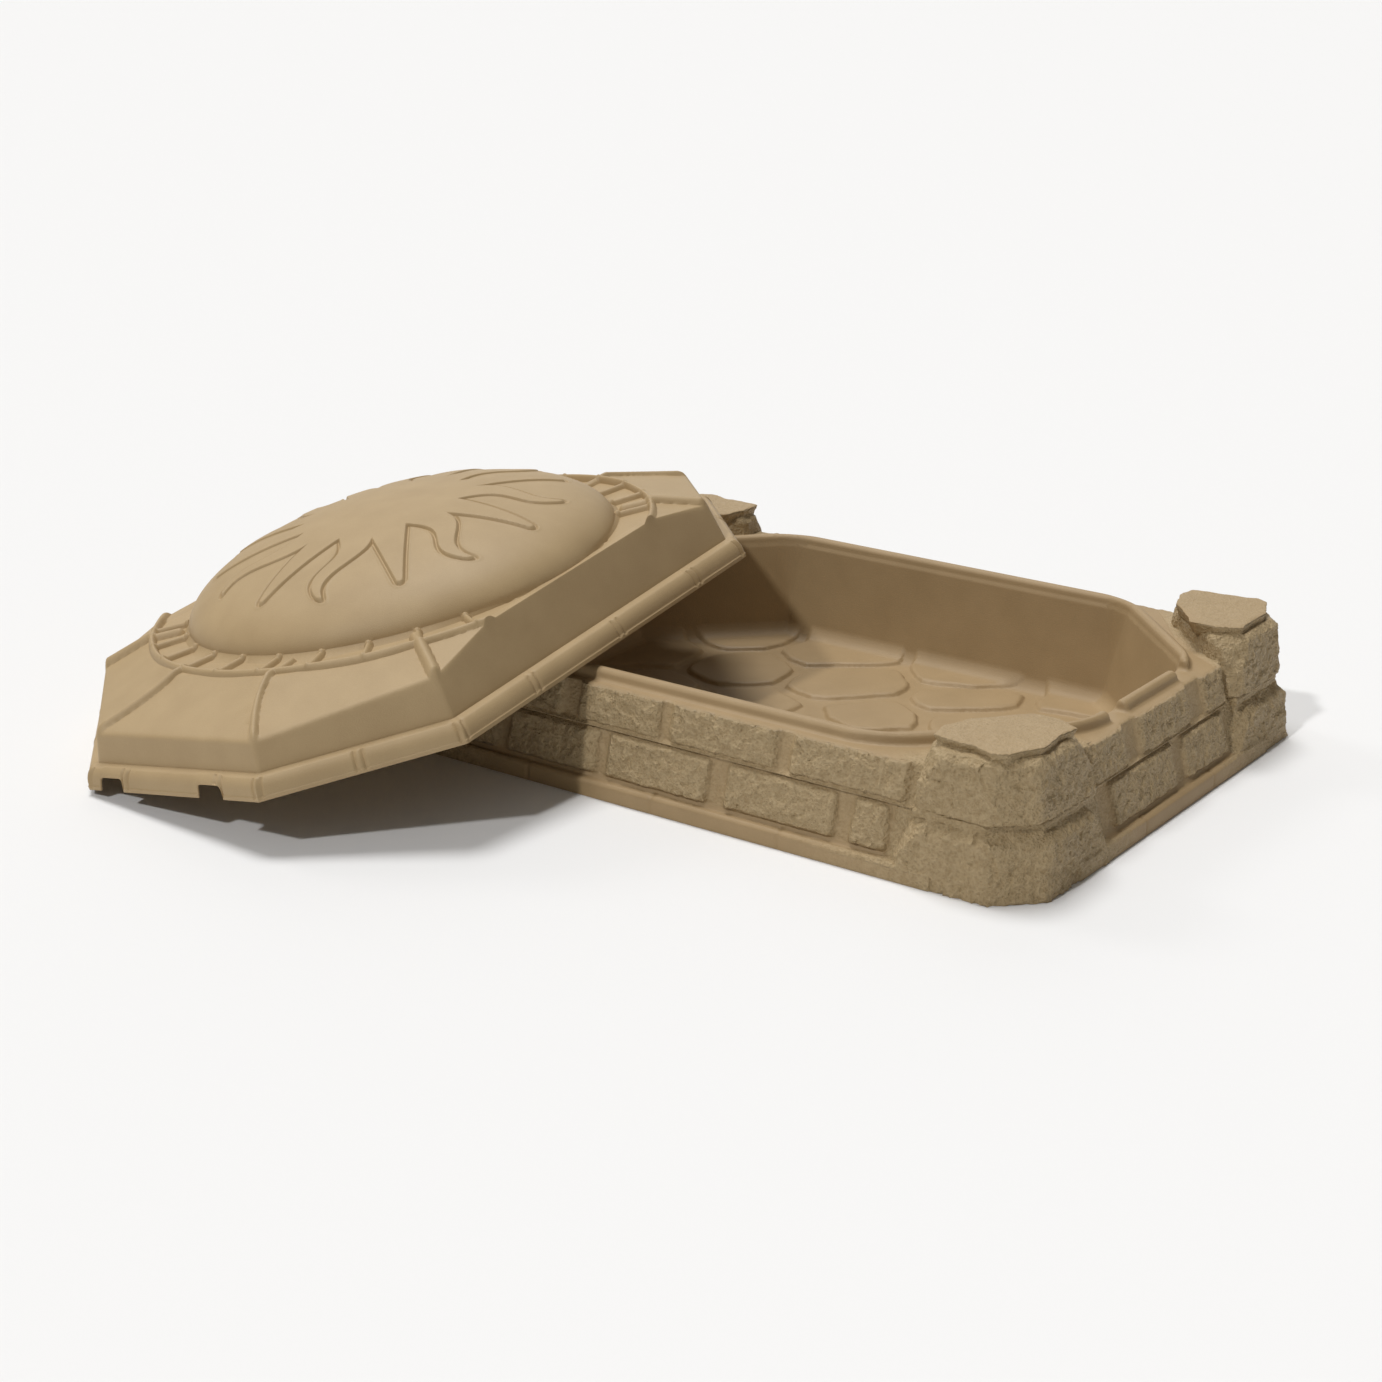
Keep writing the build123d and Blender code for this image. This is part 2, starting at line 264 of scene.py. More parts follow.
class Grid:
    """A block of points, evenly spaced, with the form's signed distance at each."""

    def __init__(self, low, high, pitch):
        self.pitch = pitch
        self.axes = [np.arange(a, b, pitch, dtype=np.float32) for a, b in zip(low, high)]
        self.low = np.array([axis[0] for axis in self.axes])
        self.value = np.full([len(axis) for axis in self.axes], 1.0, np.float32)

    def points(self):
        """The whole grid's points along each axis, ready to broadcast."""
        return [axis.reshape([-1 if i == j else 1 for j in range(3)])
                for i, axis in enumerate(self.axes)]

    def window(self, low, high):
        """Slices of the grid between two corners, and its points there."""
        cuts, points = [], []
        for i, axis in enumerate(self.axes):
            a = int(np.searchsorted(axis, low[i]))
            b = int(np.searchsorted(axis, high[i]))
            cuts.append(slice(a, b))
            shape = [1, 1, 1]
            shape[i] = b - a
            points.append(axis[a:b].reshape(shape))
        return tuple(cuts), points

    def surface(self):
        """Vertices and quads of the zero surface, by naive surface nets."""
        v = self.value
        inside = v < 0
        count = np.zeros([n - 1 for n in v.shape], np.int8)
        corners = [(i, j, k) for i in (0, 1) for j in (0, 1) for k in (0, 1)]
        cut = {c: tuple(slice(o, n - 1 + o) for o, n in zip(c, v.shape)) for c in corners}
        for c in corners:
            count += inside[cut[c]]
        cells = np.argwhere((count > 0) & (count < 8))
        number = np.full(count.shape, -1, np.int32)
        number[tuple(cells.T)] = np.arange(len(cells))
        total = np.zeros((len(cells), 3))
        hits = np.zeros(len(cells))
        for axis in range(3):
            for c in corners:
                if c[axis]:
                    continue
                d = tuple(1 if i == axis else c[i] for i in range(3))
                a = v[tuple((cells + c).T)]
                b = v[tuple((cells + d).T)]
                crossed = (a < 0) != (b < 0)
                t = np.where(crossed, a / np.where(crossed, a - b, 1), 0)
                point = np.repeat(np.array(c, float)[None], len(cells), 0)
                point[:, axis] += t
                total += point * crossed[:, None]
                hits += crossed
        points = self.low + (cells + total / hits[:, None]) * self.pitch
        quads = []
        for axis in range(3):
            p, q = [i for i in range(3) if i != axis]
            n = list(v.shape)
            first = tuple(slice(0 if i == axis else 1, n[i] - 1) for i in range(3))
            second = tuple(slice(1, n[i] if i == axis else n[i] - 1) for i in range(3))
            flips = inside[first] != inside[second]
            at = np.argwhere(flips)
            base = at + [0 if i == axis else 1 for i in range(3)]
            going_out = inside[first][tuple(at.T)]
            around = []
            for dp, dq in ((0, 0), (-1, 0), (-1, -1), (0, -1)):
                cell = base.copy()
                cell[:, p] += dp
                cell[:, q] += dq
                around.append(number[tuple(cell.T)])
            quad = np.stack(around, 1)
            if axis == 1:
                going_out = ~going_out
            quad[~going_out] = quad[~going_out][:, ::-1]
            quads.append(quad)
        return points, np.concatenate(quads)


def wall_relief(u, z, high, low, seed):
    """How far the wall stands in front of its mortar plane, over a length of it and its height."""
    streak = 0.0018 * flakes(u, z, 0.012, seed) + 0.0010 * lumps(u, z * 0.3, 0.006, seed + 1)
    relief = np.where((z > PLINTH_Z) & (z < LEDGE_Z), streak, 0) + 0 * u
    for middle, radius, depth in WALL_BEADS:
        t = np.clip(1 - ((z - middle) / radius) ** 2, 0, 1)
        relief = np.maximum(relief, depth * np.sqrt(t) + streak * 0.25)
    # each row: its blocks, its foot and top, and how far its edges there round off
    rows = ((high, HIGH_FOOT - 0.003, LEDGE_Z + 0.02, 0.005, 0.006),
            (low, 0.045, LOW_TOP + 0.006, 0.006, 0.009))
    number = 0
    for spans, foot, top, foot_edge, top_edge in rows:
        for start, end in spans:
            number += 1
            wobble = (0.0022 * lumps(u, z, 0.022, seed + 7 * number)
                      + 0.0010 * flakes(u, z, 0.010, seed + number))
            side = np.minimum(u - start, end - u) + wobble
            sides = smooth_step(side, -0.006, 0.012)
            ends = np.minimum(smooth_step(z - foot + 0.3 * wobble, -0.003, foot_edge),
                              smooth_step(top - z + 0.5 * wobble, -0.002, top_edge))
            face = JOINT - stone_skin(u, z, seed + 31 * number)
            relief = np.maximum(relief, face * sides * ends)
    return relief


def add_walls(grid):
    """The four walls of blocks, each a relief on its leaning mortar plane."""
    for axis in (0, 1):
        other = 1 - axis
        spans = (END_HIGH, END_LOW) if axis == 0 else (LONG_HIGH, LONG_LOW)
        for sign in (-1, 1):
            reach = LEDGE[other] - 0.15
            low, high = [0, 0, -0.02], [0, 0, 0.30]
            low[other], high[other] = -reach, reach
            low[axis], high[axis] = (0.05, 0.9) if sign > 0 else (-0.9, -0.05)
            cuts, points = grid.window(low, high)
            u, z, out = points[other], points[2], points[axis] * sign
            if axis == 0:
                relief = wall_relief(u[0], z[0], *spans, seed=400 + 50 * sign)[None]
            else:
                relief = wall_relief(u[:, 0], z[:, 0], *spans, seed=100 + 50 * sign)[:, None]
            mortar = LEDGE[axis] - JOINT + WALL_SLOPE * (LEDGE_Z - z)
            wall = (out - mortar - relief) * math.cos(WALL_LEAN)
            wall = round_max(wall, z - LEDGE_Z, 0.005)
            plinth = round_max(out - PLINTH[axis] + 0 * u, z - PLINTH_Z, 0.009)
            for mark in PLINTH_MARKS[other]:
                plinth = plinth + 0.0030 * np.exp(-((u - mark) / 0.004) ** 2) * (z > 0.004)
            wall = round_min(wall, plinth, 0.003)
            grid.value[cuts] = np.minimum(grid.value[cuts], np.maximum(wall, -z))


def looked_up(table, spot, low, pitch):
    """Rows of a table at these spots, for a relief that follows a slanted face."""
    index = np.clip(np.rint((spot - low) / pitch).astype(int), 0, len(table) - 1)
    return table[index]


def stone_tier(x, y, z, out, inner, cut, foot, top, bevel, seed):
    """One corner stone in the corner where X and Y are positive."""
    lean = STONE_SLOPE * (z - foot)
    skin_x = stone_skin(y[0], z[0], seed + 1, STONE_COARSE)[None]
    skin_y = stone_skin(x[:, 0], z[:, 0], seed + 2, STONE_COARSE)[:, None]
    diagonal = (x + y)[:, :, 0] / math.sqrt(2)
    along = (x - y)[:, :, 0] / math.sqrt(2)
    spots = np.arange(along.min(), along.max() + 0.004, SKIN_STEP)
    skin_cut = stone_skin(spots[:, None], z[0], seed + 3, STONE_COARSE)
    skin_cut = looked_up(skin_cut, along, spots[0], SKIN_STEP)
    face_x = x - out[0] + lean + skin_x + 0.004 * (1 + flakes(y, z, 0.11, seed + 4))
    face_y = y - out[1] + lean + skin_y + 0.004 * (1 + flakes(x, z, 0.11, seed + 5))
    corner = (out[0] + out[1] - cut) / math.sqrt(2)
    face_cut = diagonal[:, :, None] - corner + lean * 1.2 + skin_cut + 0.002
    body = bevel_max(bevel_max(face_x, face_y, 0.004), face_cut, 0.004)
    wave = 0.003 * lumps(x + y, z, 0.03, seed + 6) + 0.002 * flakes(x + y, z, 0.02, seed + 12)
    in_x = inner[0] + lean + wave - x
    in_y = inner[1] + lean + wave - y
    clear = (COVER[0] + COVER[1] - COVER_CUT[0]) / math.sqrt(2) + 0.0065 + 0.3 * lean
    face_in = clear - diagonal[:, :, None] + 0.8 * skin_cut
    inner_bevel = 0.020 + 0.5 * np.maximum(z - foot - 0.05, 0)
    body = bevel_max(bevel_max(body, in_x, inner_bevel), in_y, inner_bevel)
    body = round_max(body, face_in, 0.006)
    lid = (z - top + 0.0015 * (1 + lumps(x, y, 0.03, seed + 7))
           + 0.0010 * flakes(x, y, 0.02, seed + 8))
    ragged = bevel * (1 + 0.35 * flakes(x, y, 0.05, seed + 9))
    return round_max(bevel_max(body, lid, ragged), lid, 0.003)


def add_stones(grid):
    """Four piles of two stones with a recessed joint, and a broken-edged seat slab on top."""
    for number, (sx, sy) in enumerate(((1, -1), (1, 1), (-1, 1), (-1, -1))):
        low = [0.48 if sx > 0 else -0.86, 0.24 if sy > 0 else -0.65, -0.02]
        high = [0.86 if sx > 0 else -0.48, 0.65 if sy > 0 else -0.24, 0.30]
        cuts, (x, y, z) = grid.window(low, high)
        x, y = x * sx, y * sy
        seed = 900 + 40 * number
        lower = stone_tier(x, y, z, STONE_OUT, STONE_IN, STONE_CUT,
                           0.0, LOW_TOP + 0.004, 0.022, seed)
        upper_out = [v - UPPER_BACK for v in STONE_OUT]
        upper = stone_tier(x, y, z, upper_out, UPPER_IN, UPPER_CUT,
                           HIGH_FOOT, SEAT_Z - 0.017, 0.012, seed + 20)
        upper = round_max(upper, HIGH_FOOT - 0.002 - z, 0.006)
        joint_out = [v - UPPER_BACK - STONE_JOINT_BACK for v in STONE_OUT]
        core = np.maximum(np.maximum(x - joint_out[0], y - joint_out[1]),
                          (x + y - joint_out[0] - joint_out[1] + UPPER_CUT) / math.sqrt(2))
        core = np.maximum(core, np.maximum(UPPER_IN[0] + 0.012 - x, UPPER_IN[1] + 0.012 - y))
        for middle in JOINT_RIDGES:
            ridge = 0.011 * np.sqrt(np.clip(1 - ((z - middle) / 0.0042) ** 2, 0, 1))
            core = core - ridge / 2
        core = np.maximum(core, z - 0.20)
        # room for the closed cover's cut corner
        core = np.maximum(
            core, (COVER[0] + COVER[1] - COVER_CUT[0] + 0.012 - x - y) / math.sqrt(2))
        rim = 0.003 * lumps(x, y, 0.03, seed + 9) + 0.0022 * flakes(x, y, 0.016, seed + 10)
        slab = polygon_distance(x[:, :, 0], y[:, :, 0], SEAT)[:, :, None] + rim[:, :, :1]
        slab = slab + 0.45 * np.maximum(SEAT_Z - 0.004 - z, 0) - 0.003
        slab = np.maximum(slab, (SEAT_Z - 0.030) - z)
        lid = z - SEAT_Z + 0.0010 * (1 + lumps(x, y, 0.05, seed + 11)) + 0.0008
        slab = round_max(slab, lid, 0.003)
        pile = np.minimum(np.minimum(lower, core), np.minimum(upper, slab))
        grid.value[cuts] = np.minimum(grid.value[cuts], np.maximum(pile, -z))


def rim_distance(x, y):
    """Signed distance outwards from the bead's outer edge, in plan."""
    corner = (BEAD[0] + BEAD[1] - BEAD_CUT) / math.sqrt(2)
    sides = round_max(np.abs(x) - BEAD[0], np.abs(y) - BEAD[1], 0.02)
    return round_max(sides, (np.abs(x) + np.abs(y)) / math.sqrt(2) - corner, 0.06)


def slab_height(x, y):
    """Paving on the basin's floor: 0 in the grooves, 1 on the slabs."""
    wx = x + 0.018 * lumps(x, y, 0.12, 61) + 0.005 * lumps(x, y, 0.04, 62)
    wy = y + 0.018 * lumps(x, y, 0.12, 63) + 0.005 * lumps(x, y, 0.04, 64)
    reach = np.sort(np.stack([np.hypot(wx - sx, wy - sy) for sx, sy in SLABS]), 0)
    gap = (reach[1] - reach[0]) / 2
    third = (reach[2] - reach[0]) / 2
    # slabs round off where three of them meet
    edge = gap - 0.012 * np.exp(-third / 0.030)
    return roll(edge - 0.010, 0.012)


def cut_basin(grid):
    """The sand basin, its bead and the grip gaps."""
    x, y, z = grid.points()
    out = rim_distance(x[:, :, 0], y[:, :, 0])[:, :, None].astype(np.float32)
    half = BEAD_WIDE / 2
    top = int(np.searchsorted(grid.axes[2], LEDGE_Z - 0.03))
    near = np.abs(out + half) < 0.07
    zt = z[:, :, top:]
    round_top = np.hypot(out + half, np.maximum(zt - (BEAD_Z - half), 0)) - half
    for gy in GRIP_Y:
        gap = GRIP_WIDE / 2 - np.abs(y - gy) + 0.002 * lumps(x, y, 0.02, 71)
        gap = np.where(np.abs(x) > 0.65, gap, -1)
        round_top = round_max(round_top, gap, 0.009)
    solid = grid.value[:, :, top:]
    joined = round_min(solid, round_top, 0.011)
    grid.value[:, :, top:] = np.where(near, joined, solid)
    paving = slab_height(x[:, :, 0], y[:, :, 0])[:, :, None].astype(np.float32)
    floor = FLOOR_Z + 0.001 + SLAB_RISE * paving
    step = 12           # layers at a time, to spare memory
    for k in range(0, len(grid.axes[2]), step):
        zk = z[:, :, k:k + step]
        walls = (out + BEAD_WIDE + BASIN_SLOPE * (BEAD_Z - zk)) * math.cos(BASIN_LEAN)
        hollow = round_max(walls, floor - zk, 0.030)
        part = grid.value[:, :, k:k + step]
        grid.value[:, :, k:k + step] = round_max(part, -hollow, 0.004)


def fill_core(grid):
    """The solid under the ledge between the walls, which the relief of each wall covers."""
    x, y, z = grid.points()
    lean = WALL_SLOPE * (LEDGE_Z - z)
    sides = np.maximum(np.abs(x) - LEDGE[0] + JOINT + CORE_BACK - lean,
                       np.abs(y) - LEDGE[1] + JOINT + CORE_BACK - lean)
    corner = (LEDGE[0] + LEDGE[1] - STONE_CUT - 0.06 - 0.02) / math.sqrt(2)
    cut = (np.abs(x) + np.abs(y)) / math.sqrt(2) - corner - lean
    core = np.maximum(np.maximum(sides, cut), np.maximum(z - LEDGE_Z, -z))
    grid.value[:] = np.minimum(grid.value, core)


def box_mesh(pitch):
    """Points and quads of the whole box, from a grid of this spacing."""
    grid = Grid((-0.850, -0.642, -0.010), (0.850, 0.642, 0.296), pitch)
    fill_core(grid)
    add_walls(grid)
    add_stones(grid)
    cut_basin(grid)
    return grid.surface()


# ------------------------------------------------------------------ the cover's form

def cover_corners(inset):
    """The cover's eight-sided outline, every side moved in by inset."""
    a, b = COVER[0] - inset, COVER[1] - inset
    cx, cy = COVER_CUT
    slope = math.hypot(cx, cy)
    near_x = COVER[0] - cx - inset * (slope - cx) / cy
    near_y = COVER[1] - cy - inset * (slope - cy) / cx
    quarter = [(a, near_y), (near_x, b)]
    half = quarter + [(-x, y) for x, y in reversed(quarter)]
    return np.array(half + [(-x, -y) for x, y in half])


def shoulder_corners():
    """The two corners of the wall's top edge where X and Y are positive, as (x, y, z)."""
    made = []
    for k, z in enumerate(SHOULDER_Z):
        x, y = cover_corners(RIM_IN + COVER_SLOPE * (z - RIM_Z))[k]
        made.append((x, y, z))
    return made


def roof_planes():
    """Sloping panels as (nx, ny, nz, d) with a height of (d - nx x - ny y) / nz, for X, Y > 0."""
    first, second = shoulder_corners()
    side_y = second[1] - COVER_SLOPE * (RING_Z - second[2])
    radius = RING_R + 0.005
    swoop_x = math.sqrt(radius ** 2 - side_y ** 2)
    angle = math.atan2(first[0] - second[0], second[1] - first[1])
    mid = (radius * math.cos(angle), radius * math.sin(angle), RING_Z)
    panels = [(first, (first[0], 0, first[2]), (radius, 0, RING_Z)),
              (first, second, mid),
              (second, (swoop_x, side_y, RING_Z), mid)]
    planes = []
    for corners in panels:
        p, q, r = [np.array(v, float) for v in corners]
        normal = np.cross(q - p, r - p)
        normal *= np.sign(normal[2]) / np.linalg.norm(normal)
        planes.append((*normal, normal @ p))
    return planes


def curve_through(start, bend, end, count):
    """Points of a smooth curve that leaves start and meets end, pulled towards bend."""
    made = []
    for t in np.linspace(0, 1, count):
        made.append(tuple((1 - t) ** 2 * p + 2 * t * (1 - t) * q + t * t * r
                          for p, q, r in zip(start, bend, end)))
    return made


def bar(distance, half_width, height):
    """A rounded bar's height over the surface at this distance from its middle line."""
    return height * np.clip(1 - (distance / half_width) ** 2, 0, 1) ** 0.8


def sun_relief(radius, angle):
    """Relief of the sun on the dome, in metres: a disc with straight and waving rays."""
    best = SUN_R - radius
    for k in range(RAYS):
        middle = math.radians(129 + 360 / RAYS * k)
        wave = 0.0
        if k % 2:
            wave = RAY_WAVE * np.sin((radius - 0.170) / 0.115 * math.pi)
        turn = (angle - middle - wave + math.pi) % (2 * math.pi) - math.pi
        part = np.clip((radius - RAY_FOOT_R) / (RAY_TIP_R - RAY_FOOT_R), 0, 1)
        half = RAY_WIDE * (1 - part) ** 0.9 + RAY_NARROW
        ray = round_min(half - np.abs(turn) * radius, RAY_TIP_R - radius, 0.0075)
        ray = np.where(radius > 0.10, ray, -1)
        best = np.maximum(best, ray)
    # a channel runs round the outline, between a low plateau and a faint outer lip
    plateau = PLATEAU * smooth_step(best, -0.0005, 0.0035)
    channel = CHANNEL * np.exp(-((best + 0.0022) / 0.0031) ** 2)
    lip = LIP * np.exp(-((best + 0.0085) / 0.0030) ** 2)
    return plateau - channel + lip


def roof_height(x, y, relief=True):
    """Height of the cover inside its side walls."""
    ax, ay = np.abs(x), np.abs(y)
    height = np.full(np.shape(x), RING_Z)
    for nx, ny, nz, d in roof_planes():
        height = np.minimum(height, (d - nx * ax - ny * ay) / nz)
    radius = np.hypot(x, y)
    angle = np.arctan2(y, x)
    if relief:
        # the flat round the dome lies a little lower inside the ring
        inside = smooth_step(RING_R - radius, 0.002, 0.012) * smooth_step(radius, 0.40, 0.45)
        height = height - 0.006 * inside * smooth_step(0.470 - ay, 0.0, 0.02)
        extra = np.zeros_like(height)
        ring = bar(np.abs(radius - RING_R), *RING_BAR)
        extra = np.maximum(extra, ring * smooth_step(0.4915 - ay, 0, 0.005))
        (px, py, _), (qx, qy, _) = shoulder_corners()
        rib = curve_through((px - 0.004, py), (0.612, 0.140), (0.541, 0.136), 12)
        rib.append((0.478, 0.126))
        for a, b in zip(rib, rib[1:]):
            extra = np.maximum(extra, bar(segment_distance(ax, ay, (a, b)), *RIB_BAR))
        d = segment_distance(ax, ay, ((qx - 0.002, qy - 0.006), (0.350, 0.352)))
        extra = np.maximum(extra, bar(d, *SIDE_BAR))
        for k in range(RAYS * 2):
            middle = math.radians(130 + 12 * k)
            if abs(math.sin(middle)) > 0.88:        # none where the flat ends at the sides
                continue
            a = (TICK_R * math.cos(middle), TICK_R * math.sin(middle))
            b = (RING_R * math.cos(middle), RING_R * math.sin(middle))
            extra = np.maximum(extra, bar(segment_distance(x, y, (a, b)), *TICK_BAR))
            extra = np.maximum(extra, bar(np.hypot(x - a[0], y - a[1]), *TICK_HEAD))
        height = height + np.where((ay < 0.4905) | (height < RING_Z - 0.002), extra, 0)
    inner = np.clip(1 - (radius / DOME_R) ** 2, 0, 1)
    dome = DOME_FOOT - 0.004 + (DOME_RISE - 0.004) * np.sqrt(inner)
    if relief:
        dome = dome + sun_relief(radius, angle) * (radius < 0.44)
    return np.where(radius < DOME_R, np.maximum(height - 0.004, dome), height)


def cover_columns(count):
    """Even steps round the cover's edge: the side of each, its share along that side, its
    distances from the nearest joint mark and corner, and the height of the notch there."""
    corners = cover_corners(0.0)
    ends = np.roll(corners, -1, 0)
    lengths = np.hypot(*(ends - corners).T)
    whole = np.concatenate([[0], np.cumsum(lengths)])
    spots = np.arange(count) / count * whole[-1]
    side = np.searchsorted(whole, spots, side="right") - 1
    share = (spots - whole[side]) / lengths[side]
    point = corners[side] * (1 - share[:, None]) + ends[side] * share[:, None]
    marks, corner = np.full(count, 1.0), np.full(count, 1.0)
    for k in range(8):
        a = np.abs(spots - whole[k])
        corner = np.minimum(corner, np.minimum(a, whole[-1] - a))
        if k % 2 == 0:
            marks = np.minimum(marks, np.abs(spots - whole[k] - lengths[k] / 2))
    marks = np.minimum(marks, corner)
    x, y = point.T
    on_side, on_end = np.abs(y) > COVER[1] - 0.001, np.abs(x) > COVER[0] - 0.001
    for mark in SIDE_MARKS:
        marks = np.minimum(marks, np.where(on_side, np.abs(x - mark), 1))
    for mark in END_MARKS:
        marks = np.minimum(marks, np.where(on_end, np.abs(y - mark), 1))
    cut = np.zeros(count)
    for gy in GRIP_Y:
        off = np.where(on_end, GRIP_WIDE / 2 - np.abs(y - gy), -1)
        cut = np.maximum(cut, np.where(off > 0, GRIP_HIGH - 0.010 * (1 - roll(off, 0.010)), 0))
    return side, share, marks, cut, corner


def spread(start, end, steps):
    """Radii that go from start, left out, to end in even steps."""
    return [start + (end - start) * k / steps for k in range(1, steps + 1)]


def cover_mesh(count):
    """The cover as one closed skin: rings of points from the lower edge to the middle and back."""
    side, share, marks, cut, corner = cover_columns(count)
    bend = (1 - smooth_step(corner, 0.008, 0.018))[:, None]
    share = share[:, None]

    def outline(inset):
        corners = cover_corners(inset)
        return corners[side] * (1 - share) + np.roll(corners, -1, 0)[side] * share

    # a joint mark is a rounded ridge between two grooves
    groove = (0.0042 * np.exp(-((marks - 0.009) / 0.0034) ** 2)
              - 0.0012 * np.exp(-(marks / 0.005) ** 2))
    # the rim's section, as (how far in, how high): a short lip, then one quarter round
    curve = [(0.0, 0.0), (0.0, 0.0075), (0.0022, 0.0095)]
    for t in np.linspace(0, math.pi / 2, 15)[1:]:
        curve.append((0.0300 - 0.0278 * math.cos(t), 0.0095 + 0.0380 * math.sin(t)))
    curve.append((RIM_IN, RIM_Z - 0.003))
    curve = np.array(curve)
    rows = []
    for skin in (0.0, SKIN):
        made = []
        heights = np.linspace(0, 1, 25 if skin == 0 else 9)
        for t in heights:
            z = cut + (RIM_Z - 0.003 - cut) * t ** 1.3
            inset = np.interp(z, curve[:, 1], curve[:, 0])
            inset = np.where(t == 1, RIM_IN, inset)
            fade = smooth_step(np.array(t), 0.1, 0.3) * (1 - smooth_step(np.array(t), 0.9, 1.0))
            depth = groove * fade * (skin == 0)
            push = inset + 0.7 * depth + skin
            point = np.zeros((count, 3))
            base, deep = outline(0.0), outline(0.01)
            point[:, :2] = base + (deep - base) * (push / 0.01)[:, None]
            point[:, 2] = z - 0.7 * depth - (skin * 0.8 if t > 0.35 else 0) * (t > 0)
            made.append(point)
        # the wall rises to the panels, and on the long sides up to the flat round the dome
        low_z, high_z = np.full(count, RIM_Z), np.full(count, RING_Z + 0.004)
        inward = (outline(RIM_IN + 0.01) - outline(RIM_IN)) / 0.01
        edge = outline(RIM_IN)
        for _ in range(24):
            rise = (low_z + high_z) / 2
            spot = edge + inward * (COVER_SLOPE * (rise - RIM_Z))[:, None]
            under = roof_height(spot[:, 0], spot[:, 1], False) > rise
            low_z = np.where(under, rise, low_z)
            high_z = np.where(under, high_z, rise)
        wall_steps = np.linspace(0, 1, 16 if skin == 0 else 7)[1:]
        for t in wall_steps:
            z = RIM_Z - 0.003 + (rise - RIM_Z + 0.003) * t
            spot = edge + inward * (skin + COVER_SLOPE * np.maximum(z - RIM_Z, 0))[:, None]
            made.append(np.column_stack([spot, z - skin * 0.7 * t]))
        shoulder = made[-1][:, :2]
        reach = np.hypot(*shoulder.T)
        unit = shoulder / reach[:, None]
        dome = DOME_R if skin == 0 else DOME_R - SKIN
        inner_steps = np.linspace(dome, 0.004, 235 if skin == 0 else 40)[1:]
        if skin == 0:
            # even circles where the ring stands, so that it comes out smooth
            outside = np.minimum(RING_R + 0.014, reach - 0.25 * (reach - dome))
            inside = np.minimum(RING_R - 0.014, reach - 0.60 * (reach - dome))
            radii = (spread(reach, outside, 34) + spread(outside, inside, 24)
                     + spread(inside, dome, 32))
        else:
            radii = spread(reach, dome, 15)
        radii += [np.full(count, r) for r in inner_steps]
        crest = len(made) - 1
        for r in radii:
            spot = unit * r[:, None]
            z = roof_height(spot[:, 0], spot[:, 1], skin == 0)
            made.append(np.column_stack([spot, z - skin * 1.3]))
        if skin == 0:
            # the edges round off: the walls' upright corners, then the crest of the walls
            for k in range(crest - 14, crest + 1):
                for _ in range(4):
                    even = (np.roll(made[k], 1, 0) + 2 * made[k] + np.roll(made[k], -1, 0)) / 4
                    made[k] = made[k] + (even - made[k]) * bend
            for _ in range(3):
                old = list(made)
                for k in range(crest - 2, crest + 3):
                    made[k] = (old[k - 1] + 2 * old[k] + old[k + 1]) / 4
        made.append(np.column_stack([np.zeros((count, 2)), np.full(count, made[-1][:, 2].mean())]))
        rows.append(made)
    return rows


def cover_faces(rows, count):
    """Joins the rings into quads, the outer skin to the inner one at the lower edge."""
    points, starts = [], []
    for made in rows:
        begin = []
        for ring in made[:-1]:
            begin.append(sum(len(p) for p in points))
            points.append(ring)
        begin.append(sum(len(p) for p in points))
        points.append(made[-1][:1])
        starts.append(begin)
    column = np.arange(count)
    after = (column + 1) % count
    quads, tips = [], []
    for number, begin in enumerate(starts):
        for a, b in zip(begin[:-2], begin[1:-1]):
            quad = np.stack([a + column, a + after, b + after, b + column], 1)
            quads.append(quad if number == 0 else quad[:, ::-1])
        a, tip = begin[-2], begin[-1]
        fan = np.stack([a + column, a + after, np.full(count, tip)], 1)
        tips.append(fan if number == 0 else fan[:, ::-1])
    a, b = starts[0][0], starts[1][0]
    quads.append(np.stack([b + column, b + after, a + after, a + column], 1))
    return np.concatenate(points), np.concatenate(quads), np.concatenate(tips)


def cover_place():
    """Where the cover rests: turned, leant over, its lowest corner on the ground."""
    across = math.radians(LEAN_TOWARDS + 90)
    hinge = Vector((math.cos(across), math.sin(across), 0))
    tilt = Matrix.Rotation(math.radians(COVER_LEAN), 3, hinge)
    turn = tilt @ Matrix.Rotation(math.radians(COVER_TURN), 3, "Z")
    lowest = min((turn @ Vector((*p, 0))).z for p in cover_corners(0.0))
    return np.array(turn), np.array((*COVER_AT, -lowest))


# ------------------------------------------------------------------ meshes and materials

def mesh_object(name, points, faces):
    """A new object from points and blocks of faces, each block an array of corners."""
    mesh = bpy.data.meshes.new(name)
    mesh.from_pydata(points.tolist() if isinstance(points, np.ndarray) else points, [],
                     [f for block in faces for f in block.tolist()])
    mesh.update()
    made = bpy.data.objects.new(name, mesh)
    bpy.context.scene.collection.objects.link(made)
    return made


def apply_modifier(made, name, kind, **settings):
    """Adds one modifier and makes its result the mesh."""
    added = made.modifiers.new(name, kind)
    for key, value in settings.items():
        setattr(added, key, value)
    with bpy.context.temp_override(object=made, active_object=made, selected_objects=[made]):
        bpy.ops.object.modifier_apply(modifier=added.name)


